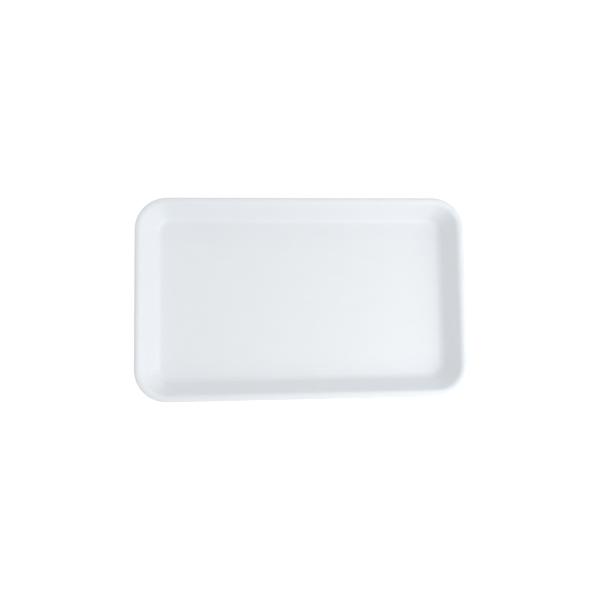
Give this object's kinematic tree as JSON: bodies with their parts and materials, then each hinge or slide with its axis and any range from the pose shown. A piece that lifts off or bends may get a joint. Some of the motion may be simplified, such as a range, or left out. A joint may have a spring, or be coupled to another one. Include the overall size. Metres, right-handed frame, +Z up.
{
  "type": "foam meat tray",
  "caption": "Shallow rectangular white foam food tray with sloping walls, round corners and a narrow rolled lip.",
  "frame": {"origin": "middle of the flat underside, on the surface the tray rests on", "axes": "+X along the long side, +Y along the short side, +Z up out of the open top"},
  "size_m": [0.222, 0.135, 0.018],
  "materials": {
    "foam": "satin skin of pressed white polystyrene foam with a fine cell mottle"
  },
  "bodies": {
    "root": {"tray": "foam"}
  },
  "joints": []
}
